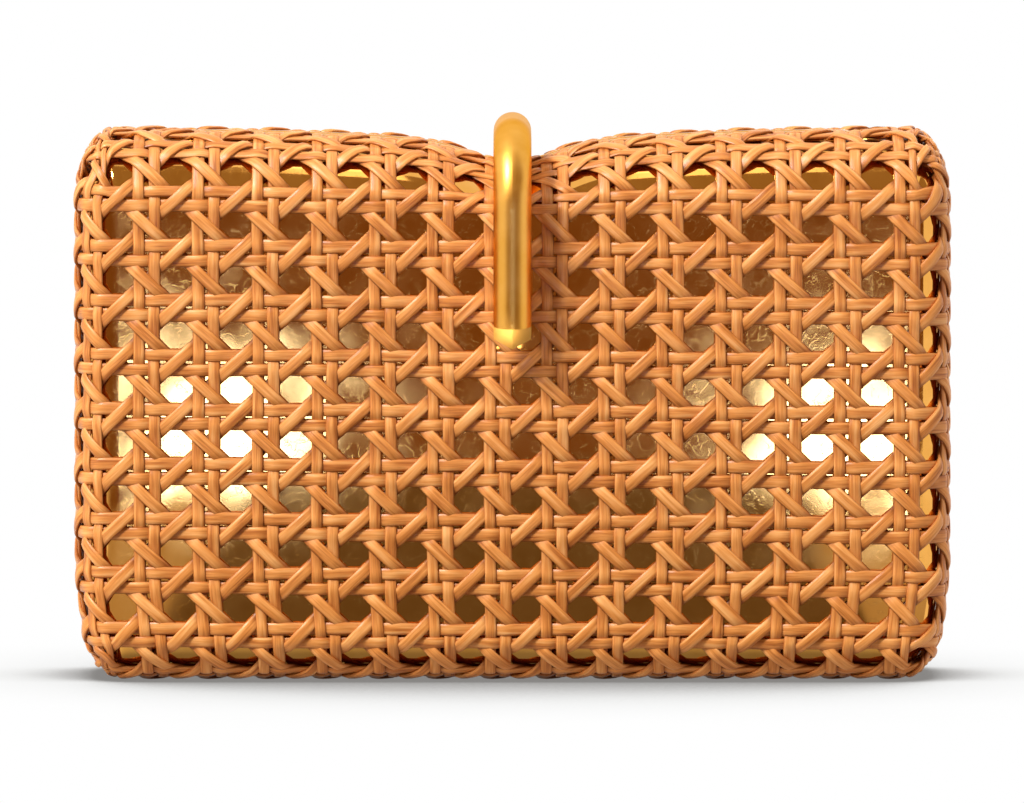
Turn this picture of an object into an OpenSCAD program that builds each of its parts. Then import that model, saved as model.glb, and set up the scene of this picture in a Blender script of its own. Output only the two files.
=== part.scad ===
// Basket box bag: open six-way cane weave over a gold inner shell, a soft mouth along the top,
// and a bent brass rod that hooks over the mouth and is hinged on the back.
// Millimetres, +Z up, front towards -Y, origin in the middle of the base.

/* [Body] */
// Width over the weave
body_w = 199; // [170:0.5:240]
// Height of the body at its corners
body_h = 125; // [110:0.5:150]
// Depth of the body at its edges
body_d = 48; // [46:1:60]
// Radius of the upright edges
side_r = 9; // [7:0.5:14]
// Radius of the top edges
edge_r = 16; // [12:0.5:17]
// Radius of the bottom edges
base_r = 11; // [8:0.5:16]
// How much narrower each side is at the base
base_tuck = 2.4; // [0:0.1:4]
// Height over which the sides narrow towards the base
tuck_h = 28; // [15:1:40]
// How far the middle of each face bows out
crown = 1.2; // [0:0.1:3]
// Gap between the front and back halves along their seam
seam_gap = 0.2; // [0.1:0.1:0.6]

/* [Weave] */
// Distance between neighbouring upright pairs of strands
pitch_x = 13.2; // [12:0.1:15]
// Distance between neighbouring level pairs of strands
pitch_z = 12.3; // [11.5:0.1:14]
// Sideways offset of the weave on the front
front_shift = 3.2; // [-6:0.1:6]
// Upward offset of the weave
row_shift = -2.3; // [-4:0.1:4]
// Width of one strand
strand_w = 2.6; // [2:0.1:3]
// Open space between the two strands of a pair
pair_gap = 1; // [0.4:0.1:1.6]
// Thickness of the woven wall
weave_t = 2; // [1.6:0.1:3]
// How far a slanting strand stands out where it crosses over a pair
slant_rise = 0.6; // [0.2:0.1:0.8]
// Depth of the groove between the two strands of a pair
groove = 0.5; // [0.3:0.1:0.8]
// How far a strand falls away from its crest to its edge
strand_round = 0.4; // [0.2:0.1:0.8]
// Wall left behind a closed dimple of the weave
dimple_floor = 0.6; // [0.4:0.1:1]

/* [Inner shell] */
// Thickness of the gold shell
shell_t = 1.5; // [1:0.1:2.5]
// Space between the weave and the gold shell
layer_gap = 0.4; // [0.2:0.1:0.8]
// How much further the gold shell keeps from the weave in the corners
corner_ease = 1; // [0.8:0.1:2]

/* [Mouth] */
// Length of the mouth between its ends
mouth_l = 168; // [130:1:170]
// Width between the edges of the two lips
mouth_w = 14; // [13:0.5:15]
// Distance from an end of the mouth to the end of the piped loop inside it
piping_inset = 8; // [7:0.5:20]
// Diameter of the piping
piping_d = 2.8; // [2:0.1:3.2]
// Space between the piping and the lips
piping_gap = 0.4; // [0.2:0.1:0.6]
// How far the clasp presses the lips down
pinch_drop = 7.1; // [4:0.1:8]
// How far the clasp draws each lip towards the other
pinch_in = 2.4; // [0:0.1:3]
// Half width of the pinched stretch
pinch_w = 13; // [10:0.5:30]
// Height over which the pinch fades out below the top
pinch_h = 19; // [14:1:24]

/* [Clasp] */
// Diameter of the clasp rod
rod_d = 8.6; // [6:0.1:10]
// Radius of the rod's bends, on its centre line
bend_r = 15.5; // [10:0.5:20]
// How far the rod's top stands above the body's corners
rod_rise = 2.8; // [2.5:0.1:8]
// Distance from the top of the rod down to the point of its front leg
leg_drop = 51.7; // [45:0.1:65]
// Length of the flattened tongue at the rod's end
tongue_l = 5.4; // [3:0.1:10]
// Slope of the tongue's lower edge, rising to either side
tip_slope = 28; // [20:1:50]
// Lean of the tongue's flats towards the bag
tip_lean = 9; // [0:1:20]
// Turn of each flat away from the ridge between them
flat_turn = 5; // [2:1:15]

/* [Hinge] */
// Distance from the body's corners down to the hinge pin
hinge_drop = 25.5; // [23:0.5:28]
// How much thicker the barrel at the rod's back end is than the rod
barrel_extra = 0.6; // [0:0.1:2]
// Diameter of the hinge pin
pin_d = 3; // [2:0.1:4]
// Radial clearance of the hinge pin in its bores
pin_clear = 0.05; // [0.02:0.01:0.1]
// Thickness of the hinge plate
plate_t = 1.4; // [1:0.1:3]
// Width of metal left around each rivet hole
plate_rim = 4.5; // [3.5:0.1:6]
// Thickness of the plate's two ears
ear_t = 2.5; // [1.5:0.1:4]
// Diameter of the ears around the pin
ear_d = 8.4; // [7:0.1:9.2]
// Space between the moving and the fixed parts of the hinge
hinge_gap = 0.35; // [0.3:0.05:0.6]
// Diameter of the rivets
rivet_d = 3; // [2:0.1:4]
// Diameter of the rivet and pin heads
head_d = 5.4; // [4.6:0.1:6.4]
// Height of the rivet and pin heads
head_h = 0.9; // [0.5:0.1:1.5]
// Thickness of the backing plate inside the bag
backing_t = 1; // [0.6:0.1:2]
// Space between a plate and the wall that it is riveted to
seat_gap = 0.2; // [0.1:0.1:0.4]

/* [Hidden] */

CANE = [0.84, 0.56, 0.33];
GOLD = [0.86, 0.68, 0.28];
BRASS = [0.80, 0.60, 0.24];
CURVES = 64;
SMALL_CURVES = 32;
PIPING_SIDES = 8;
PLACE_STEP = 0.01;
PIPING_STEPS = 16;

// The flat middle of a face, and how far its edges reach around to the seam
flat_x = body_w / 2 - side_r;
flat_lo = base_r;
flat_hi = body_h - edge_r;
half_d = body_d / 2;
reach_u = side_r * PI / 2 + half_d - side_r;
reach_v = edge_r * PI / 2 + half_d - edge_r;
reach_lo = base_r * PI / 2 + half_d - base_r;
seam_u = flat_x + reach_u;
seam_lo = flat_lo - reach_lo;

// Rows of open cells
rows = floor((body_h - 2 * edge_r) / pitch_z + 1);
row0 = body_h / 2 + row_shift - rows * pitch_z / 2;

// Layers of the wall, as depths below the outside of the weave
dimple_t = weave_t - dimple_floor;
shell_out = weave_t + layer_gap;
shell_in = shell_out + shell_t;

// An open cell of the weave as an octagon, in shares of the pitch from the cell's middle
hole_x = (pitch_x - 2 * strand_w - pair_gap) / pitch_x / 2;
hole_z = (pitch_z - 2 * strand_w - pair_gap) / pitch_z / 2;
hole_cut = 0.5 - strand_w * sqrt(2) / (pitch_x + pitch_z);
RIM = octagon(hole_x, hole_z, hole_cut);

// The middle lines of the strands around the cell, where the wall is highest
CREST = octagon(hole_x + strand_w / pitch_x / 2, hole_z + strand_w / pitch_z / 2, 0.5);

// Places of the clasp and its hinge, in whole steps so that the pieces of the rod meet
rod_r = rod_d / 2;
barrel_d = rod_d + barrel_extra;
rod_top = body_h + rod_rise - rod_r;
tip_z = body_h + rod_rise - leg_drop;
hinge_z = body_h - hinge_drop;
rivet_z = row0 + (floor((hinge_z - row0) / pitch_z) - 0.5) * pitch_z;
plate_lo = rivet_z - plate_rim;
plate_hi = hinge_z + ear_d / 2;
plate_y = ceil((seat_gap - wall_at(0, plate_lo, 0)[1]) / PLACE_STEP) * PLACE_STEP;
plate_w = 2 * (pitch_x + plate_rim);
hinge_y = plate_y + plate_t + barrel_d / 2 + hinge_gap;
front_y = rod_r - hinge_y - barrel_d / 2;
backing_lo = rivet_z - plate_rim;
backing_hi = rivet_z + plate_rim;
backing_y = min(
    -wall_at(plate_w / 2, backing_hi, shell_in)[1],
    -wall_at(plate_w / 2, backing_lo, shell_in)[1]
) - seat_gap;
ear_x = rod_r + hinge_gap;

function clamp(a, low, high) = min(max(a, low), high);
function smooth(a) = let (c = clamp(a, 0, 1)) c * c * (3 - 2 * c);
function bell(a) = exp(-a * a);

// An octagon with level, upright and slanting sides, anticlockwise from its lower side
function octagon(x, z, cut) =
    let (a = cut - z, b = cut - x)
    [[-a, -z], [a, -z], [x, -b], [x, b], [a, z], [-a, z], [-x, b], [-x, -b]];

// Half width of the mouth at a place along it
function mouth(x) = let (a = min(abs(x) / (mouth_l / 2), 1)) mouth_w / 2 * pow(1 - pow(a, 4), 0.25);

// Bows the faces out, narrows the base, and pinches the top in and down under the clasp
function shaped(p) =
    let (
        across = max(0, 1 - pow(p[0] / (body_w / 2), 2)),
        up = max(0, 1 - pow((p[2] - body_h / 2) / (body_h / 2), 2)),
        bow = 1 + crown / half_d * across * up,
        tuck = 1 - base_tuck / (body_w / 2) * smooth(1 - p[2] / tuck_h),
        near_top = smooth((p[2] - (body_h - pinch_h)) / (pinch_h - 1)),
        drop = pinch_drop * (0.65 * bell(p[0] / pinch_w) + 0.35 * bell(p[0] / pinch_w / 3)),
        squeeze = pinch_in / (half_d - edge_r) * bell(p[0] / pinch_w)
    )
    [p[0] * tuck, p[1] * bow * (1 - squeeze * near_top), p[2] - drop * near_top];

// A point of the front half: u runs sideways and v upwards along its outside, t is the depth below it
function wall_at(u, v, t) =
    let (
        p = max(abs(u) - flat_x, 0) / reach_u,
        q = max((v - flat_hi) / reach_v, (flat_lo - v) / reach_lo, 0),
        level_r = v < flat_lo ? base_r : edge_r,
        turn = max(p, q) == 0 ? 0 : atan2(q, p),
        r = side_r * pow(cos(turn), 2) + level_r * pow(sin(turn), 2),
        run = max(p, q) * (r * PI / 2 + half_d - r),
        bend = min(run / r, PI / 2) * 180 / PI,
        deep = t > weave_t ? t + corner_ease * pow(sin(2 * turn), 2) : t,
        x = min(abs(u), flat_x) + (side_r - deep) * sin(bend) * cos(turn),
        rise = (level_r - deep) * sin(bend) * sin(turn),
        z = v > flat_hi ? flat_hi + rise : max(v, flat_lo) - rise,
        back = r - (r - deep) * cos(bend) + max(run - r * PI / 2, 0)
    )
    shaped([sign(u) * x, back - half_d - seam_gap / 2, z]);

// Lines that bound the cells of the weave, sideways and upwards
function flat_columns(shift) = 2 * floor((flat_x - abs(shift)) / pitch_x - 0.5) + 1;
function column_lines(shift) =
    let (n = flat_columns(shift))
    concat([-seam_u], [for (k = [0 : n + 2]) (k - n / 2 - 1) * pitch_x + shift], [seam_u]);
function row_lines(u) =
    concat([seam_lo], [for (k = [-1 : rows + 1]) row0 + k * pitch_z], [flat_hi + reach_v - mouth(u)]);

// Sides are split in the two outer cells at either end, on a rounded edge, and in the middle, under the clasp
function splits(k, count) =
    k == 0 ? [0.5, 0.75]
    : k == count - 1 ? [0.25, 0.5]
    : k == 1 || k == count - 2 || 2 * k == count - 1 ? [0.27, 0.73] : [];
function stations(count) =
    concat([for (k = [0 : count - 1]) for (f = concat([0], splits(k, count))) [k, f]], [[count - 1, 1]]);
function line_index(k, count) =
    k + 2 * min(k, 2) + 2 * max(0, k - (count - 2)) + (2 * k > count - 1 ? 2 * (count % 2) : 0);
function along(lines, place) =
    lines[place[0]] + place[1] * (lines[place[0] + 1] - lines[place[0]]);
function cell_point(lines, column, row, t) =
    let (u = along(lines, column))
    wall_at(u, along(row_lines(u), row), t);

// Points of one half of the bag: the lines on both faces, then each cell's octagons and middle.
// A slanting strand is over the pair at every second corner of the crest; the base is left flat.
CELL_POINTS = 18;
function half_points(lines, t_line, t_over, t_crest, t_rim, t_in, t_dimple) =
    let (
        nc = len(lines) - 1,
        nr = rows + 4
    )
    concat(
        [for (t = [t_line, t_in]) for (a = stations(nc)) for (b = stations(nr)) cell_point(lines, a, b, t)],
        [for (i = [0 : nc - 1]) for (j = [0 : nr - 1]) each concat(
            [for (k = [0 : 7])
                let (o = CREST[k], t = k % 2 == 1 || j == 0 ? t_over : t_crest)
                cell_point(lines, [i, 0.5 + o[0]], [j, 0.5 + o[1]], t)],
            [for (o = RIM) cell_point(lines, [i, 0.5 + o[0]], [j, 0.5 + o[1]], t_rim)],
            [cell_point(lines, [i, 0.5], [j, 0.5], j == 0 ? t_over : t_dimple)],
            [cell_point(lines, [i, 0.5], [j, 0.5], t_in)]
        )]
    );

// Closed loop of line points around a cell, anticlockwise from outside, as four sides without their ends
function cell_sides(i, j, nc, nr, base) =
    let (
        nv = len(stations(nr)),
        a = line_index(i, nc),
        b = line_index(i + 1, nc),
        c = line_index(j, nr),
        d = line_index(j + 1, nr)
    )
    [
        [for (k = [a : b - 1]) base + k * nv + c],
        [for (k = [c : d - 1]) base + b * nv + k],
        [for (k = [b : -1 : a + 1]) base + k * nv + d],
        [for (k = [d : -1 : c + 1]) base + a * nv + k]
    ];

// Triangles between a cell's loop and its octagon, whose points are numbered from o
function ring(sides, o) =
    [for (k = [0 : 3])
        let (
            s = sides[k],
            end = sides[(k + 1) % 4][0],
            first = o + 2 * k,
            second = first + 1,
            next = o + (2 * k + 2) % 8
        )
        each concat(
            len(s) == 1 ? [[s[0], end, second], [s[0], second, first]]
                : [[s[0], s[1], first], [s[1], s[2], second], [s[1], second, first], [s[2], end, second]],
            [[end, next, second]]
        )];
function fan(loop, middle) =
    [for (k = [0 : len(loop) - 1]) [loop[k], loop[(k + 1) % len(loop)], middle]];
function band(o, p) =
    [for (k = [0 : 7]) let (m = (k + 1) % 8) each [[o + k, o + m, p + m], [o + k, p + m, p + k]]];
function flipped(faces) = [for (f = faces) [f[2], f[1], f[0]]];
function octagon_loop(o) = [for (k = [0 : 7]) o + k];
function joined(sides) = [for (s = sides) each s];

// A plain cell is flat, or a fan where its sides are split
function plain_cell(loop, middle) =
    len(loop) == 4 ? [[loop[0], loop[1], loop[2]], [loop[0], loop[2], loop[3]]] : fan(loop, middle);
function is_open(i, j, nc, nr) = i > 0 && i < nc - 1 && j > 1 && j < nr - 2;

// Faces of one cell, inside and outside; plain cells have no octagon
function cell_faces(i, j, nc, nr, woven) =
    let (
        grid = len(stations(nc)) * len(stations(nr)),
        outside = cell_sides(i, j, nc, nr, 0),
        inside = cell_sides(i, j, nc, nr, grid),
        o = 2 * grid + CELL_POINTS * (i * nr + j),
        middle = o + CELL_POINTS - 2
    )
    !woven ? concat(plain_cell(joined(outside), middle), flipped(plain_cell(joined(inside), middle + 1)))
    : is_open(i, j, nc, nr) ? concat(
        ring(outside, o),
        band(o, o + 8),
        flipped(ring(inside, o + 8)))
    : concat(
        ring(outside, o),
        fan(octagon_loop(o), middle),
        flipped(fan(joined(inside), middle + 1)));

// The rim that closes the wall along the seam and the lip
function rim_faces(nc, nr) =
    let (
        nu = len(stations(nc)),
        nv = len(stations(nr)),
        grid = nu * nv,
        loop = concat(
            [for (k = [0 : nu - 2]) k * nv],
            [for (k = [0 : nv - 2]) (nu - 1) * nv + k],
            [for (k = [nu - 1 : -1 : 1]) k * nv + nv - 1],
            [for (k = [nv - 1 : -1 : 1]) k]
        )
    )
    [for (k = [0 : len(loop) - 1])
        let (a = loop[k], b = loop[(k + 1) % len(loop)])
        each [[b, a, grid + a], [b, grid + a, grid + b]]];

// One half of a layer of the bag, a woven one with open cells or a plain one
module half_layer(shift, t_out, t_in, woven) {
    lines = column_lines(shift);
    nc = len(lines) - 1;
    nr = rows + 4;
    faces = concat(
        [for (i = [0 : nc - 1]) for (j = [0 : nr - 1]) each cell_faces(i, j, nc, nr, woven)],
        rim_faces(nc, nr)
    );
    t_crest = t_out + slant_rise;
    t_line = woven ? t_crest + groove : t_out;
    t_dimple = woven ? t_out + dimple_t : t_out;
    polyhedron(
        points = half_points(lines, t_line, t_out, t_crest, t_crest + strand_round, t_in, t_dimple),
        faces = flipped(faces),
        convexity = 12
    );
}

module to_back() {
    mirror([0, 1, 0]) children();
}

// A round bar along X, centred
module bar(d, l) {
    rotate([0, 90, 0]) cylinder(d = d, h = l, center = true, $fn = CURVES);
}

module at_rivets() {
    for (side = [-1, 1]) translate([side * pitch_x, 0, rivet_z]) children();
}

// A hole or shank along Y from y0 to y1
module along_y(d, y0, y1) {
    translate([0, y1, 0]) rotate([90, 0, 0]) cylinder(d = d, h = y1 - y0, $fn = SMALL_CURVES);
}

module woven_front() {
    color(CANE) half_layer(front_shift, 0, weave_t, true);
}

// The weave of the back is centred, so that the rivets pass through its open cells
module woven_back() {
    color(CANE) to_back() half_layer(0, 0, weave_t, true);
}

module gold_shell_front() {
    color(GOLD) half_layer(front_shift, shell_out, shell_in, false);
}

module gold_shell_back() {
    color(GOLD) difference() {
        to_back() half_layer(0, shell_out, shell_in, false);
        at_rivets() along_y(rivet_d + 2 * seat_gap, 0, body_d);
    }
}

// Path of the piping: along the front lip and back along the other
piping_l = mouth_l - 2 * piping_inset;
piping_r = piping_d / 2;
piping_y = mouth_w / 2 - piping_gap - piping_r;
piping_z = body_h - shell_in / 2;
function piping_at(side, k) =
    let (x = sin(90 * k / PIPING_STEPS))
    [side * x * piping_l / 2, -side * piping_y * pow(max(0, 1 - pow(x, 4)), 0.25), piping_z];
PIPING_PATH = [for (side = [1, -1]) for (k = [-PIPING_STEPS : PIPING_STEPS - 1]) piping_at(side, k)];

// Gold piping that binds the two lips, one closed loop
module mouth_piping() {
    n = len(PIPING_PATH);
    points = [for (k = [0 : n - 1])
        let (
            here = PIPING_PATH[k],
            ahead = PIPING_PATH[(k + 1) % n] - PIPING_PATH[(k + n - 1) % n],
            out = [ahead[1], -ahead[0], 0] / norm(ahead)
        )
        for (s = [0 : PIPING_SIDES - 1])
            let (a = 360 * s / PIPING_SIDES)
            shaped(here + piping_r * (cos(a) * out + sin(a) * [0, 0, 1]))];
    faces = [for (k = [0 : n - 1]) for (s = [0 : PIPING_SIDES - 1])
        let (
            a = k * PIPING_SIDES + s,
            b = k * PIPING_SIDES + (s + 1) % PIPING_SIDES,
            c = (k + 1) % n * PIPING_SIDES + (s + 1) % PIPING_SIDES,
            d = (k + 1) % n * PIPING_SIDES + s
        )
        each [[a, b, c], [a, c, d]]];
    color(GOLD) polyhedron(points = points, faces = faces, convexity = 6);
}

// A quarter bend of the rod in the YZ plane, from upright on its -Y side to level on top
module rod_bend() {
    rotate([90, 0, 90]) rotate_extrude(angle = 90, $fn = CURVES)
        translate([bend_r, 0]) circle(d = rod_d);
}

module rod_leg(y, z0, z1) {
    translate([0, y, z0]) cylinder(d = rod_d, h = z1 - z0, $fn = CURVES);
}

// Cuts the rod's end to a half-round tongue: two flats that meet in a faint ridge, and a pointed lower edge
module tip_cut() {
    cut = 4 * rod_d;
    for (side = [-1, 1]) {
        translate([0, front_y, tip_z + tongue_l]) rotate([tip_lean, 0, 0]) rotate([0, 0, side * flat_turn])
            translate([-cut / 2, -cut, -cut]) cube(cut);
        translate([0, front_y, tip_z]) rotate([0, -side * tip_slope, 0])
            translate([-cut / 2, -cut / 2, -cut]) cube(cut);
    }
}

// Bent brass rod: a front leg that ends in a tongue, two bends over the mouth, and a barrel on the hinge pin
module clasp_rod() {
    bend_z = rod_top - bend_r;
    color(BRASS) difference() {
        union() {
            difference() {
                rod_leg(front_y, tip_z, bend_z);
                tip_cut();
            }
            translate([0, front_y + bend_r, bend_z]) mirror([0, 1, 0]) rod_bend();
            translate([0, front_y + bend_r, rod_top]) rotate([-90, 0, 0])
                cylinder(d = rod_d, h = hinge_y - front_y - 2 * bend_r, $fn = CURVES);
            translate([0, hinge_y - bend_r, bend_z]) rod_bend();
            rod_leg(hinge_y, hinge_z, bend_z);
            translate([0, hinge_y, hinge_z]) bar(barrel_d, rod_d);
        }
        translate([0, hinge_y, hinge_z]) bar(pin_d + 2 * pin_clear, 2 * rod_d);
    }
}

// Brass plate on the back with two ears for the hinge pin
module hinge_plate() {
    color(BRASS) difference() {
        union() {
            translate([-plate_w / 2, plate_y, plate_lo]) cube([plate_w, plate_t, plate_hi - plate_lo]);
            for (side = [-1, 1]) translate([side * (ear_x + ear_t / 2), hinge_y, hinge_z]) {
                bar(ear_d, ear_t);
                translate([-ear_t / 2, plate_y - hinge_y, -ear_d / 2])
                    cube([ear_t, hinge_y - plate_y, ear_d]);
            }
        }
        translate([0, hinge_y, hinge_z]) bar(pin_d + 2 * pin_clear, 2 * plate_w);
        at_rivets() along_y(rivet_d + 2 * pin_clear, plate_y - plate_t, plate_y + 2 * plate_t);
    }
}

// Pin through the ears and the rod's barrel, headed at both ends
module hinge_pin() {
    span = 2 * (ear_x + ear_t);
    color(BRASS) translate([0, hinge_y, hinge_z]) {
        bar(pin_d, span + head_h);
        for (side = [-1, 1]) translate([side * (span + head_h) / 2, 0, 0]) bar(head_d, head_h);
    }
}

// Two rivets that clamp the back wall between the hinge plate and the backing plate
module plate_rivets() {
    outer = plate_y + plate_t;
    inner = backing_y - backing_t;
    color(BRASS) at_rivets() {
        along_y(rivet_d, inner - head_h / 2, outer + head_h / 2);
        along_y(head_d, outer, outer + head_h);
        along_y(head_d, inner - head_h, inner);
    }
}

// Plate inside the bag that spreads the rivets' load
module backing_plate() {
    color(BRASS) difference() {
        translate([-plate_w / 2, backing_y - backing_t, backing_lo])
            cube([plate_w, backing_t, backing_hi - backing_lo]);
        at_rivets() along_y(rivet_d + 2 * pin_clear, backing_y - 2 * backing_t, backing_y + backing_t);
    }
}

woven_front();
woven_back();
gold_shell_front();
gold_shell_back();
mouth_piping();
clasp_rod();
hinge_plate();
hinge_pin();
plate_rivets();
backing_plate();
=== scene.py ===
import math

import bpy
import numpy as np
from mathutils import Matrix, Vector


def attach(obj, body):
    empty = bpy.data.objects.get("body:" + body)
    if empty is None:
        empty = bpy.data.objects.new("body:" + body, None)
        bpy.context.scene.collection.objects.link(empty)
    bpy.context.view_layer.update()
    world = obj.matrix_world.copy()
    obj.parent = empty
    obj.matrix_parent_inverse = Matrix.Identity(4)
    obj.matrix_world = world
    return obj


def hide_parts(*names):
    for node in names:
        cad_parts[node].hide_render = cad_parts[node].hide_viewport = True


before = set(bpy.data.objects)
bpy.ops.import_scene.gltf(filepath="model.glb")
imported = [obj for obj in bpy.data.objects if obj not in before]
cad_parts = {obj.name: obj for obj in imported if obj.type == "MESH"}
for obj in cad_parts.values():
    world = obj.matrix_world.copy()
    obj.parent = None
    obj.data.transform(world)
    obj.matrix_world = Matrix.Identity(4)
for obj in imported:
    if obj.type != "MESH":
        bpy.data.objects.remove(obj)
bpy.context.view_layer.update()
STRAND_SEED = 7
rng = np.random.default_rng(STRAND_SEED)

# Sizes of the body in millimetres; meshes are made in metres
MM = 0.001
BODY_W = 199.0
BODY_H = 125.0
HALF_D = 24.0
SIDE_R = 9.0
EDGE_R = 16.0
BASE_R = 11.0
BASE_TUCK = 2.4
TUCK_H = 28.0
CROWN = 1.2
FLAT_X = BODY_W / 2 - SIDE_R
FLAT_LO = BASE_R
FLAT_HI = BODY_H - EDGE_R
REACH_U = SIDE_R * math.pi / 2 + HALF_D - SIDE_R
REACH_V = EDGE_R * math.pi / 2 + HALF_D - EDGE_R
REACH_LO = BASE_R * math.pi / 2 + HALF_D - BASE_R
SEAM_U = FLAT_X + REACH_U
SEAM_LO = FLAT_LO - REACH_LO
SEAM_HI = FLAT_HI + REACH_V

# The mouth, its piping and the pinch under the clasp
MOUTH_L = 168.0
MOUTH_W = 14.0
MOUTH_POWER = 4
PIPING_INSET = 8.0
PIPING_L = MOUTH_L - 2 * PIPING_INSET
PIPING_R = 1.4
PIPING_GAP = 0.4
PIPING_STEPS = 96
PIPING_SIDES = 16
PINCH_DROP = 7.1
PINCH_IN = 2.4
PINCH_W = 13.0
PINCH_H = 19.0
DIP_NARROW = 0.65
DIP_WIDE = 0.35

# The weave: pairs of level and upright strands, and two sets of slanting strands
PITCH_X = 13.2
PITCH_Z = 12.38
FRONT_SHIFT = 3.2
ROW0 = 10.4
TOP_ROW = 9
TOP_STRETCH = 1.5
LOW_ROW = -1
UPRIGHT_W = 2.7
LEVEL_W = 2.85
SLANT_W = 2.75
UPRIGHT_STEP = 3.5
LEVEL_STEP = 3.4
ROW_TILT = 0.0055
GATHER = 0.5
GATHER_L = 72.0
LIP_MARGIN = 3.3
LIP_BLEND = 2.0
ROWS_BELOW = 1.5
ROWS_ABOVE = 0.5
STEPS = 13
LEVEL_WAVE = 0.40
SLANT_WAVE = 0.80
SLANT_SHARP = 2.2
MIDDLE_T = 1.15
WEAVE_T = 2.0
CORNER_ROUND = 4.0
SWAY = 0.13
SWAY_L = 9.0
SWAY_PHASES = 40
UNEVEN = 0.05

# Section of a strand: share of the half width, and height in millimetres
SECTION = np.array([
    (-1.00, 0.08), (-0.88, 0.30), (-0.50, 0.43), (0.00, 0.47), (0.50, 0.43), (0.88, 0.30), (1.00, 0.08),
    (0.85, -0.25), (-0.85, -0.25),
])

# The gold shell behind the weave
SHELL_OUT = 2.4
SHELL_IN = 3.9
SHELL_EASE = 0.1
SHELL_WAVE = 0.003
SHELL_WAVES = 24
SHELL_WAVE_L = (12, 34)
SHELL_GRID = (181, 121)
SHELL_SEED = 3
CORNER_EASE = 1.0

FRONT = -1
BACK = 1


def smooth(a):
    c = np.clip(a, 0, 1)
    return c * c * (3 - 2 * c)


def bell(a):
    return np.exp(-a * a)


def mouth(x):
    """Half width of the mouth at a place along it."""
    a = np.minimum(np.abs(x) / (MOUTH_L / 2), 1)
    return MOUTH_W / 2 * (1 - a ** MOUTH_POWER) ** (1 / MOUTH_POWER)


def lip(u):
    """Where the wall ends at the mouth, measured up along its outside."""
    return SEAM_HI - mouth(u)


def shaped(x, y, z):
    """Bows the faces out, narrows the base, and pinches the top in and down under the clasp."""
    across = np.maximum(0, 1 - (x / (BODY_W / 2)) ** 2)
    up = np.maximum(0, 1 - ((z - BODY_H / 2) / (BODY_H / 2)) ** 2)
    bow = 1 + CROWN / HALF_D * across * up
    tuck = 1 - BASE_TUCK / (BODY_W / 2) * smooth(1 - z / TUCK_H)
    near_top = smooth((z - (BODY_H - PINCH_H)) / (PINCH_H - 1))
    drop = PINCH_DROP * (DIP_NARROW * bell(x / PINCH_W) + DIP_WIDE * bell(x / PINCH_W / 3))
    squeeze = PINCH_IN / (HALF_D - EDGE_R) * bell(x / PINCH_W)
    return np.stack([x * tuck, y * bow * (1 - squeeze * near_top), z - drop * near_top], axis=-1)


def edge_shares(u, v):
    """How far a place lies from the flat middle towards the seam, sideways and upwards."""
    p = np.maximum(np.abs(u) - FLAT_X, 0) / REACH_U
    q = np.maximum(np.maximum((v - FLAT_HI) / REACH_V, (FLAT_LO - v) / REACH_LO), 0)
    return p, q


def seam_share(u, v, power):
    p, q = edge_shares(u, v)
    if power is None:
        return np.maximum(p, q)
    return (p ** power + q ** power) ** (1 / power)


def wall(side, u, v, t, power=CORNER_ROUND):
    """Points of one half in millimetres: u sideways and v up along its outside, t the depth below it."""
    p, q = edge_shares(u, v)
    share = np.minimum(seam_share(u, v, power), 1)
    turn = np.arctan2(q, p + 1e-12)
    level_r = np.where(v < FLAT_LO, BASE_R, EDGE_R)
    r = SIDE_R * np.cos(turn) ** 2 + level_r * np.sin(turn) ** 2
    run = share * (r * math.pi / 2 + HALF_D - r)
    bend = np.minimum(run / r, math.pi / 2)
    deep = t + np.where(t > WEAVE_T, CORNER_EASE, 0) * np.sin(2 * turn) ** 2
    x = np.minimum(np.abs(u), FLAT_X) + (SIDE_R - deep) * np.sin(bend) * np.cos(turn)
    rise = (level_r - deep) * np.sin(bend) * np.sin(turn)
    z = np.where(v > FLAT_HI, FLAT_HI + rise, np.maximum(v, FLAT_LO) - rise)
    back = r - (r - deep) * np.cos(bend) + np.maximum(run - r * math.pi / 2, 0)
    return shaped(np.sign(u) * x, -side * (back - HALF_D), z)


# Places in the weave: counts of pitches sideways (0 is a column of holes) and upwards (0 is a level pair)
def wrap(a):
    return a - np.round(a)


SEAM_SLIP_RIGHT = wrap((SEAM_U - FRONT_SHIFT) / PITCH_X + SEAM_U / PITCH_X)
SEAM_SLIP_LEFT = wrap((-SEAM_U - FRONT_SHIFT) / PITCH_X - SEAM_U / PITCH_X)
SLIP_START = 25.0
BACK_REACH = SEAM_U + 5
BACK_SAMPLES = 801
BACK_U = np.linspace(-BACK_REACH, BACK_REACH, BACK_SAMPLES)
BACK_SLIP = np.where(BACK_U > 0, SEAM_SLIP_RIGHT, SEAM_SLIP_LEFT)
BACK_COUNT = -BACK_U / PITCH_X + BACK_SLIP * smooth((np.abs(BACK_U) - SLIP_START) / (SEAM_U - SLIP_START))


def u_of(side, column, v):
    """Sideways place of a column count. Under the base the halves meet half way between their offsets."""
    below = smooth(v / SEAM_LO)
    if side == FRONT:
        even = column * PITCH_X + FRONT_SHIFT * (1 - below / 2)
        return even - GATHER * np.sin(math.pi * even / GATHER_L)
    return np.interp(column, BACK_COUNT[::-1], BACK_U[::-1]) + FRONT_SHIFT * below / 2


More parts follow.
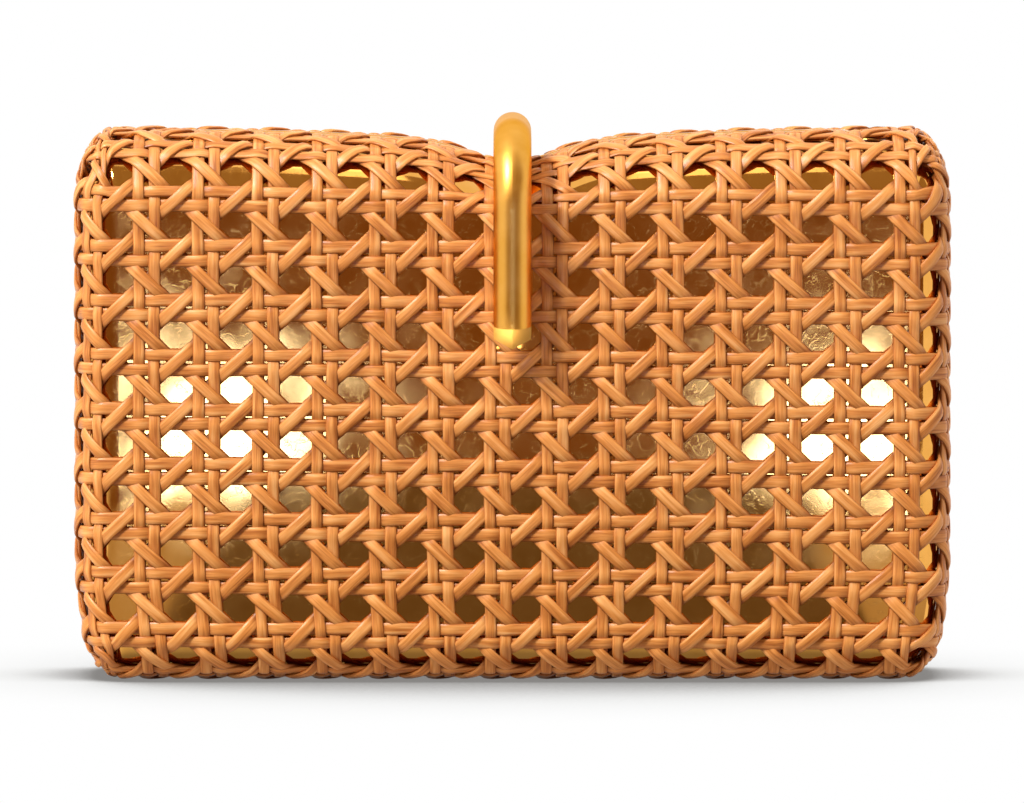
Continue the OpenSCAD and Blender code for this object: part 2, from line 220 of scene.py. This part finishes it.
def v_of(row, u):
    """Upward place of a row count. Rows close up under the base and along the lip."""
    low = ROW0 + LOW_ROW * PITCH_Z
    high = ROW0 + TOP_ROW * PITCH_Z + TOP_STRETCH
    low_pitch = (low - SEAM_LO) / ROWS_BELOW
    free = -(high + PITCH_Z) / LIP_BLEND
    held = -(lip(u) - LIP_MARGIN) / LIP_BLEND
    lip_row = -LIP_BLEND * np.logaddexp(free, held)
    tilt = ROW_TILT * u
    above = row - TOP_ROW
    high_row = high - tilt
    to_lip = high_row + above * (lip_row - high_row)
    past_lip = lip_row + (above - 1) / ROWS_ABOVE * (SEAM_HI - lip_row)
    top = np.where(above < 1, to_lip, past_lip)
    stretch = TOP_STRETCH * np.maximum(row - TOP_ROW + 1, 0)
    middle = ROW0 + row * PITCH_Z + stretch - tilt * smooth((row - LOW_ROW) / 2)
    return np.where(row < LOW_ROW, low + (row - LOW_ROW) * low_pitch, np.where(above < 0, middle, top))


def crossing(d, step):
    """Height of a strand over one strand of a pair and under the other, at d from the pair's middle."""
    a = d / (step / 2)
    return LEVEL_WAVE * a * np.exp((1 - a * a) / 2)


def slant(a):
    """Height of a slanting strand, which lies flat over one pair and flat under the next."""
    return SLANT_WAVE * np.tanh(SLANT_SHARP * a) / math.tanh(SLANT_SHARP)


class Mesh:
    """Collects ribbons and grids into one mesh, with what the materials need to know of each point."""

    def __init__(self):
        self.points = []
        self.faces = []
        self.facts = {"along": [], "across": [], "seed": [], "lift": []}
        self.count = 0

    def add_grid(self, points, closed_i=False, closed_j=False, flip=False):
        """Quads over points[i, j]; returns the number of the first point."""
        ni, nj = points.shape[:2]
        first = self.count
        number = first + np.arange(ni * nj).reshape(ni, nj)
        if closed_i:
            number = np.concatenate([number, number[:1]], 0)
        if closed_j:
            number = np.concatenate([number, number[:, :1]], 1)
        corners = [number[:-1, :-1], number[1:, :-1], number[1:, 1:], number[:-1, 1:]]
        quads = np.stack(corners, -1).reshape(-1, 4)
        self.faces.extend((quads[:, ::-1] if flip else quads).tolist())
        self.points.append(points.reshape(-1, 3))
        self.count += ni * nj
        return first

    def add_facts(self, **facts):
        for name, values in facts.items():
            self.facts[name].append(np.ravel(values))

    def make(self, name, material):
        data = bpy.data.meshes.new(name)
        data.from_pydata((np.concatenate(self.points) * MM).tolist(), [], self.faces)
        for fact, values in self.facts.items():
            if values:
                layer = data.attributes.new(fact, "FLOAT", "POINT")
                layer.data.foreach_set("value", np.concatenate(values).astype(np.float32))
        data.shade_smooth()
        data.update()
        piece = bpy.data.objects.new(name, data)
        bpy.context.scene.collection.objects.link(piece)
        data.materials.append(material)
        return piece


def add_strand(mesh, side, u, v, height, width):
    """One strand along the places u, v, as a domed ribbon that ends at the seam or at the lip."""
    inside = (seam_share(u, v, CORNER_ROUND) <= 1) & (v <= lip(u))
    if inside.sum() < 3:
        return
    first = np.argmax(inside)
    last = len(inside) - 1 - np.argmax(inside[::-1])
    keep = slice(max(first - 1, 0), min(last + 2, len(u)))
    u, v, height = u[keep], v[keep], height[keep]
    du, dv = np.gradient(u), np.gradient(v)
    length = np.hypot(du, dv)
    seed = rng.random()
    sway = SWAY * np.sin(np.cumsum(length) / SWAY_L + seed * SWAY_PHASES)
    lateral = SECTION[None, :, 0] * width / 2 + sway[:, None]
    su = u[:, None] - lateral * (dv / length)[:, None]
    sv = v[:, None] + lateral * (du / length)[:, None]
    sv = np.minimum(sv, lip(su))
    depth = MIDDLE_T - height[:, None] - SECTION[None, :, 1]
    points = wall(side, su, sv, depth)
    flip = side == BACK
    start = mesh.add_grid(points, closed_j=True, flip=flip)
    n = len(SECTION)
    ends = [list(range(start, start + n)), list(range(mesh.count - n, mesh.count))[::-1]]
    mesh.faces.extend([e[::-1] for e in ends] if flip else ends)
    along = np.broadcast_to(np.cumsum(length)[:, None], su.shape)
    across = np.broadcast_to(SECTION[:, 0], su.shape)
    # How high the strand lies; the cane material paints shade where it is low
    lift = np.broadcast_to(0.5 + height[:, None] / (2 * SLANT_WAVE), su.shape)
    mesh.add_facts(along=along, across=across, seed=np.full(su.shape, seed), lift=lift)


# Counts that reach up to the seams or past them; add_strand cuts what lies beyond
COLUMNS = range(-11, 12)
ROWS = range(-3, 12)
SLANT_STARTS = range(-14, 24)
FIRST_ROW = -2.5
LAST_ROW = 10.5
LAST_COLUMN = 10
ROW_COUNTS = np.arange(FIRST_ROW * STEPS - 2, LAST_ROW * STEPS + 3) / STEPS
COLUMN_COUNTS = np.arange(-LAST_COLUMN * STEPS, LAST_COLUMN * STEPS + 1) / STEPS

# A height on the face, for the first guess of a column's sideways place
FACE_V = 50.0


def uneven(width):
    return width * rng.uniform(1 - UNEVEN, 1 + UNEVEN)


def upright_strands(side):
    mesh = Mesh()
    for column in COLUMNS:
        for hand in (-1, 1):
            around = np.full(ROW_COUNTS.shape, column + 0.5)
            v = v_of(ROW_COUNTS, u_of(side, around, FACE_V))
            u = u_of(side, around, v) - side * hand * UPRIGHT_STEP / 2
            height = -hand * crossing(wrap(ROW_COUNTS) * PITCH_Z, LEVEL_STEP)
            add_strand(mesh, side, u, v, height, uneven(UPRIGHT_W))
    return mesh


def level_strands(side):
    mesh = Mesh()
    for row in ROWS:
        for hand in (-1, 1):
            u = u_of(side, COLUMN_COUNTS, FACE_V)
            v = v_of(np.full(u.shape, float(row)), u) + hand * LEVEL_STEP / 2
            u = u_of(side, COLUMN_COUNTS, v)
            height = hand * crossing(wrap(COLUMN_COUNTS + 0.5) * PITCH_X, UPRIGHT_STEP)
            add_strand(mesh, side, u, v, height, uneven(LEVEL_W))
    return mesh


def slanting_strands(side, hand):
    """Strands that rise to the right for hand 1 and fall for hand -1, as seen from outside."""
    mesh = Mesh()
    for start in SLANT_STARTS:
        rows = hand * COLUMN_COUNTS + start
        fits = (rows > ROW_COUNTS[0]) & (rows < ROW_COUNTS[-1])
        if fits.sum() < 3:
            continue
        columns, rows = COLUMN_COUNTS[fits], rows[fits]
        v = v_of(rows, u_of(side, columns, FACE_V))
        u = u_of(side, columns, v)
        height = hand * slant(np.cos(2 * math.pi * columns))
        add_strand(mesh, side, u, v, height, uneven(SLANT_W))
    return mesh


def shell_half(side):
    """The gold shell of one half as a closed skin, slightly uneven like thin leather."""
    mesh = Mesh()
    a = np.linspace(-1, 1, SHELL_GRID[0])[:, None]
    b = np.linspace(0, 1, SHELL_GRID[1])[None, :]
    u = SEAM_U * a + 0 * b
    v = SEAM_LO + b * (lip(u) - SEAM_LO)
    waves = np.random.default_rng(SHELL_SEED)
    bumps = np.zeros(u.shape)
    for _ in range(SHELL_WAVES):
        angle = waves.uniform(0, 2 * math.pi)
        number = 2 * math.pi / waves.uniform(*SHELL_WAVE_L)
        phase = waves.uniform(0, 6.3)
        bumps += np.sin(number * (u * math.cos(angle) + v * math.sin(angle)) + phase)
    outer = wall(side, u, v, SHELL_OUT + SHELL_EASE + SHELL_WAVE * bumps, None)
    inner = wall(side, u, v, np.full(u.shape, SHELL_IN), None)
    flip = side == BACK
    first = mesh.add_grid(outer, flip=flip)
    second = mesh.add_grid(inner, flip=not flip)
    ni, nj = u.shape
    number = np.arange(ni * nj).reshape(ni, nj)
    rim = np.concatenate([number[:-1, 0], number[-1, :-1], number[:0:-1, -1], number[0, :0:-1]])
    for k in range(len(rim)):
        here, ahead = int(rim[k]), int(rim[(k + 1) % len(rim)])
        quad = [first + ahead, first + here, second + here, second + ahead]
        mesh.faces.append(quad[::-1] if flip else quad)
    return mesh


def piping_loop():
    mesh = Mesh()
    turn = np.linspace(-math.pi / 2, math.pi / 2, PIPING_STEPS + 1)[:-1]
    x = np.sin(turn)
    half_w = MOUTH_W / 2 - PIPING_GAP - PIPING_R
    y = half_w * np.maximum(0, 1 - x ** MOUTH_POWER) ** (1 / MOUTH_POWER)
    path = np.concatenate([np.stack([x * PIPING_L / 2, -y], -1), np.stack([-x * PIPING_L / 2, y], -1)])
    ahead = np.roll(path, -1, 0) - np.roll(path, 1, 0)
    ahead /= np.linalg.norm(ahead, axis=1)[:, None]
    around = np.linspace(0, 2 * math.pi, PIPING_SIDES + 1)[:-1]
    px = path[:, :1] + PIPING_R * np.cos(around) * ahead[:, 1:]
    py = path[:, 1:] - PIPING_R * np.cos(around) * ahead[:, :1]
    pz = BODY_H - SHELL_IN / 2 + PIPING_R * np.sin(around) + 0 * px
    mesh.add_grid(shaped(px, py, pz), closed_i=True, closed_j=True)
    return mesh


# Materials
def new_material(name):
    material = bpy.data.materials.new(name)
    material.use_nodes = True
    tree = material.node_tree
    return material, tree, tree.nodes["Principled BSDF"]


def node(tree, kind, inputs=None, **settings):
    made = tree.nodes.new(kind)
    for key, value in settings.items():
        setattr(made, key, value)
    for key, value in (inputs or {}).items():
        if isinstance(value, bpy.types.NodeSocket):
            tree.links.new(value, made.inputs[key])
        else:
            made.inputs[key].default_value = value
    return made


def math_node(tree, operation, a, b):
    return node(tree, "ShaderNodeMath", {0: a, 1: b}, operation=operation).outputs[0]


def ramp(tree, value, stops):
    made = node(tree, "ShaderNodeValToRGB", {0: value})
    elements = made.color_ramp.elements
    for k, (place, colour) in enumerate(stops):
        stop = elements[k] if k < 2 else elements.new(place)
        stop.position = place
        stop.color = (*colour, 1)
    return made.outputs[0]


def cane_material():
    material, tree, shader = new_material("split_cane")
    along = node(tree, "ShaderNodeAttribute", attribute_name="along").outputs["Fac"]
    across = node(tree, "ShaderNodeAttribute", attribute_name="across").outputs["Fac"]
    seed = node(tree, "ShaderNodeAttribute", attribute_name="seed").outputs["Fac"]
    number = math_node(tree, "MULTIPLY", seed, 97.0)

    def streaks(wide, long, detail):
        place = node(tree, "ShaderNodeCombineXYZ", {
            0: math_node(tree, "MULTIPLY", across, wide),
            1: math_node(tree, "MULTIPLY", along, long),
            2: number,
        }).outputs[0]
        return node(tree, "ShaderNodeTexNoise", {"Vector": place, "Scale": 1.0, "Detail": detail}).outputs[0]

    fine = streaks(11.0, 0.16, 4.0)
    broad = streaks(1.2, 0.07, 2.0)
    fine_part = math_node(tree, "MULTIPLY", fine, 0.4)
    broad_part = math_node(tree, "MULTIPLY", broad, 0.6)
    mixed = math_node(tree, "ADD", fine_part, broad_part)
    colour = ramp(tree, mixed, [
        (0.34, (0.42, 0.120, 0.020)), (0.45, (0.67, 0.240, 0.050)), (0.54, (0.80, 0.330, 0.084)),
        (0.66, (0.92, 0.47, 0.165)),
    ])
    lift = node(tree, "ShaderNodeAttribute", attribute_name="lift").outputs["Fac"]
    edge = math_node(tree, "ABSOLUTE", across, 0.0)
    # Painted shade: the cane's colour is darkened where a strand dips low under its neighbours
    painted_dip_shade = ramp(tree, lift, [(0.12, (0.42, 0.32, 0.22)), (0.44, (0.82, 0.76, 0.70)), (0.74, (1, 1, 1))])
    # Painted shade: the colour is also darkened along the edges of each strand
    painted_edge_shade = ramp(tree, edge, [(0.80, (1, 1, 1)), (1.0, (0.62, 0.52, 0.42))])
    # Both ramps multiply painted shade into the cane's colour
    for shade in (painted_dip_shade, painted_edge_shade):
        inputs = {0: 1.0, 6: colour, 7: shade}
        painted_shading = node(tree, "ShaderNodeMix", inputs, data_type="RGBA", blend_type="MULTIPLY")
        colour = painted_shading.outputs[2]
    tree.links.new(colour, shader.inputs["Base Color"])
    shader.inputs["Specular IOR Level"].default_value = 0.45
    rough = node(tree, "ShaderNodeMapRange", {0: fine, 3: 0.30, 4: 0.46})
    tree.links.new(rough.outputs[0], shader.inputs["Roughness"])
    bump = node(tree, "ShaderNodeBump", {"Height": fine, "Strength": 0.35, "Distance": 0.00012})
    tree.links.new(bump.outputs[0], shader.inputs["Normal"])
    return material


def curly_scratches(tree, place, scale):
    """Thin curly lines: where a cloudy noise passes its middle value."""
    cloud = node(tree, "ShaderNodeTexNoise", {"Vector": place, "Scale": scale, "Detail": 3.0}).outputs[0]
    away = math_node(tree, "ABSOLUTE", math_node(tree, "SUBTRACT", cloud, 0.5), 0.0)
    return node(tree, "ShaderNodeMapRange", {0: away, 1: 0.0, 2: 0.012, 3: 1.0, 4: 0.0}).outputs[0]


def metal_material(name, colours, roughness, scratch_scale, scratch_depth):
    """A metal between two colours and two roughnesses, with grain and curly scratches."""
    dark, light = colours
    smoothest, roughest = roughness
    material, tree, shader = new_material(name)
    place = node(tree, "ShaderNodeTexCoord").outputs["Object"]
    cloud = node(tree, "ShaderNodeTexNoise", {"Vector": place, "Scale": 150.0, "Detail": 4.0}).outputs[0]
    grain = node(tree, "ShaderNodeTexNoise", {"Vector": place, "Scale": 1500.0, "Detail": 3.0}).outputs[0]
    scratches = curly_scratches(tree, place, scratch_scale)
    tree.links.new(ramp(tree, cloud, [(0.3, dark), (0.7, light)]), shader.inputs["Base Color"])
    shader.inputs["Metallic"].default_value = 1.0
    limits = {0: cloud, 1: 0.3, 2: 0.7, 3: smoothest, 4: roughest}
    rough = node(tree, "ShaderNodeMapRange", limits).outputs[0]
    worn = math_node(tree, "ADD", rough, math_node(tree, "MULTIPLY", scratches, 0.1))
    tree.links.new(worn, shader.inputs["Roughness"])
    height = math_node(tree, "SUBTRACT", math_node(tree, "MULTIPLY", grain, 0.5), scratches)
    bump = node(tree, "ShaderNodeBump", {"Height": height, "Strength": scratch_depth, "Distance": 0.00005})
    tree.links.new(bump.outputs[0], shader.inputs["Normal"])
    return material, shader


def gold_material():
    colours = ((0.84, 0.38, 0.06), (0.93, 0.45, 0.09))
    material, shader = metal_material("gold_skin", colours, (0.05, 0.10), 300.0, 0.02)
    shader.inputs["Coat Weight"].default_value = 0.3
    shader.inputs["Coat Roughness"].default_value = 0.07
    return material


def brass_material():
    colours = ((0.84, 0.39, 0.055), (0.95, 0.49, 0.10))
    material, shader = metal_material("satin_brass", colours, (0.31, 0.39), 420.0, 0.03)
    shader.inputs["Specular Tint"].default_value = (0.95, 0.72, 0.40, 1)
    return material


# The pieces
cane = cane_material()
gold = gold_material()
brass = brass_material()


def place_piece(mesh, name, material, slot, *nodes):
    piece = mesh.make(name, material)
    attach(piece, "bag")
    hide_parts(*nodes)


for side, word in ((FRONT, "front"), (BACK, "back")):
    place_piece(upright_strands(side), f"upright_strands_{word}", cane, "cane", f"woven_{word}")
    place_piece(level_strands(side), f"level_strands_{word}", cane, "cane", f"woven_{word}")
    place_piece(slanting_strands(side, 1), f"rising_strands_{word}", cane, "cane", f"woven_{word}")
    place_piece(slanting_strands(side, -1), f"falling_strands_{word}", cane, "cane", f"woven_{word}")
    place_piece(shell_half(side), f"gold_skin_{word}", gold, "gold_skin", f"gold_shell_{word}")
place_piece(piping_loop(), "piping_loop", gold, "gold_skin", "mouth_piping")

for name in ("clasp_rod", "hinge_plate", "hinge_pin", "plate_rivets", "backing_plate"):
    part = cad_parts[name]
    part.data.materials.clear()
    part.data.materials.append(brass)

# Camera: straight at the front from a little above, far away with a long lens
IMAGE_W = 1024
PIXELS_PER_MM = 4.385
CAMERA_DISTANCE = 3.2
CAMERA_RISE = math.radians(3.5)
AIM = Vector((-0.0001, 0, 0.0624))
camera_data = bpy.data.cameras.new("camera")
camera_data.lens = camera_data.sensor_width * CAMERA_DISTANCE / (IMAGE_W / PIXELS_PER_MM * MM)
camera = bpy.data.objects.new("camera", camera_data)
bpy.context.scene.collection.objects.link(camera)
toward = Vector((0, -math.cos(CAMERA_RISE), math.sin(CAMERA_RISE)))
camera.location = AIM + toward * CAMERA_DISTANCE
camera.rotation_euler = (-toward).to_track_quat("-Z", "Y").to_euler()
camera_data.clip_end = 50
bpy.context.scene.camera = camera


# Stage and light
def plane(name, corners, material):
    data = bpy.data.meshes.new(name)
    data.from_pydata(corners, [], [tuple(range(len(corners)))])
    data.materials.append(material)
    made = bpy.data.objects.new(name, data)
    bpy.context.scene.collection.objects.link(made)
    return made


def soft_box(name, place, target, width, height, watts, mirrored=True, colour=(1, 1, 1)):
    data = bpy.data.lights.new(name, "AREA")
    data.shape = "RECTANGLE"
    data.size = width
    data.size_y = height
    data.energy = watts
    data.color = colour
    lamp = bpy.data.objects.new(name, data)
    bpy.context.scene.collection.objects.link(lamp)
    lamp.location = place
    lamp.rotation_euler = (Vector(target) - Vector(place)).to_track_quat("-Z", "Y").to_euler()
    lamp.visible_camera = False
    lamp.visible_glossy = mirrored


def seen_rays(tree):
    """1 for the rays that see the white background: the camera's, mirrored ones and those through glass."""
    rays = node(tree, "ShaderNodeLightPath")
    others = math_node(tree, "MAXIMUM", rays.outputs["Is Glossy Ray"], rays.outputs["Is Transmission Ray"])
    return math_node(tree, "MAXIMUM", rays.outputs["Is Camera Ray"], others)


def floor_material():
    """White with a soft contact shadow, painted in from ambient occlusion, where it is seen, and plain matt
    for other rays.
    """
    material, tree, shader = new_material("white_floor")
    tree.nodes.remove(shader)
    # Painted contact shadow: the floor's glow is darkened by a ramp on ambient occlusion
    hidden = node(tree, "ShaderNodeAmbientOcclusion", {"Distance": 0.2}, samples=16)
    shade = ramp(tree, hidden.outputs["AO"], [
        (0.42, (0.25, 0.24, 0.23)), (0.61, (0.60, 0.59, 0.58)),
        (0.71, (0.86, 0.86, 0.85)), (0.86, (1, 1, 1)),
    ])
    white = node(tree, "ShaderNodeEmission", {"Color": shade})
    matt = node(tree, "ShaderNodeBsdfDiffuse", {"Color": (0.45, 0.42, 0.38, 1)})
    mixed = node(tree, "ShaderNodeMixShader", {0: seen_rays(tree), 1: matt.outputs[0], 2: white.outputs[0]})
    tree.links.new(mixed.outputs[0], tree.nodes["Material Output"].inputs[0])
    return material


def card(name, corners, colour):
    """A dim card that the metal mirrors; the camera doesn't see it and it casts no shadow."""
    material, _, shader = new_material(name)
    shader.inputs["Base Color"].default_value = (0, 0, 0, 1)
    shader.inputs["Specular IOR Level"].default_value = 0.0
    shader.inputs["Emission Color"].default_value = (*colour, 1)
    shader.inputs["Emission Strength"].default_value = 1.0
    made = plane(name, corners, material)
    made.visible_camera = False
    made.visible_shadow = False


# The floor, and how near to the bag the cards that lie on it come, in metres
FLOOR_HALF_W = 4.0
FLOOR_EDGE = -0.6
FLOOR_BACK = 6.0
CARD_NEAR = -0.035


def flat_corners(half_width, height):
    """A rectangle on the floor in front of the bag."""
    front = [(-half_width, FLOOR_EDGE, height), (half_width, FLOOR_EDGE, height)]
    return front + [(half_width, CARD_NEAR, height), (-half_width, CARD_NEAR, height)]


# Cards behind the camera and above it, in metres
CARD_LEFT = -3.0
CARD_RIGHT = 4.3
CARD_LOW = (-3.6, -1.5)
CARD_BEND = (-3.6, 1.4)
CARD_TOP = (-0.7, 2.2)


def wide_corners(low, high):
    """A rectangle across the front between two places, each a y and a z."""
    return [(CARD_LEFT, *low), (CARD_RIGHT, *low), (CARD_RIGHT, *high), (CARD_LEFT, *high)]


floor_front = [(-FLOOR_HALF_W, FLOOR_EDGE, 0), (FLOOR_HALF_W, FLOOR_EDGE, 0)]
floor_back = [(FLOOR_HALF_W, FLOOR_BACK, 0), (-FLOOR_HALF_W, FLOOR_BACK, 0)]
plane("floor", floor_front + floor_back, floor_material())
card("front_card", wide_corners(CARD_LOW, CARD_BEND), (0.19, 0.09, 0.034))
card("top_card", wide_corners(CARD_BEND, CARD_TOP), (0.34, 0.24, 0.14))
card("floor_card", flat_corners(0.085, 0.0004), (0.14, 0.105, 0.08))
card("pale_floor_card", flat_corners(0.25, 0.0002), (0.50, 0.43, 0.38))

# Lamps: place, target, width, height and watts
MIDDLE = (0, 0, 0.06)
COOL = (0.30, 0.45, 1.0)
soft_box("key", (-0.9, -1.0, 1.4), MIDDLE, 0.34, 0.34, 42)
soft_box("side_left", (-1.56, -0.9, 0.35), MIDDLE, 0.45, 0.7, 9, mirrored=False)
soft_box("side_right", (1.5, -0.3, 0.5), MIDDLE, 0.4, 0.6, 6, mirrored=False)
soft_box("top", (0, -0.35, 1.5), MIDDLE, 1.6, 0.9, 4, mirrored=False)
soft_box("panel_left", (-0.139, -1.5, -0.068), (-0.062, 0, 0.06), 0.072, 0.125, 0.62, colour=COOL)
soft_box("panel_right", (0.162, -1.5, -0.090), (0.069, 0, 0.046), 0.080, 0.148, 0.9, colour=COOL)
soft_box("top_glint", (0.02, -0.55, 1.5), (0.01, 0, 0.12), 0.16, 0.5, 0.42)
soft_box("tongue_fill", (-0.0015, -0.0416, 0.0772), (-0.001, -0.036, 0.0792), 0.0068, 0.0044, 0.0005)
soft_box("back_fill", (0.8, 1.5, 1.3), MIDDLE, 0.6, 0.6, 22, mirrored=False)

world = bpy.data.worlds.new("studio")
bpy.context.scene.world = world
world.use_nodes = True
sky = world.node_tree
ambient = sky.nodes["Background"]
ambient.inputs["Color"].default_value = (1, 1, 1, 1)
ambient.inputs["Strength"].default_value = 0.13
white = node(sky, "ShaderNodeBackground", {"Color": (1, 1, 1, 1), "Strength": 1.0})
mixed = node(sky, "ShaderNodeMixShader", {0: seen_rays(sky), 1: ambient.outputs[0], 2: white.outputs[0]})
sky.links.new(mixed.outputs[0], sky.nodes["World Output"].inputs[0])

bpy.context.scene.view_settings.view_transform = "Standard"
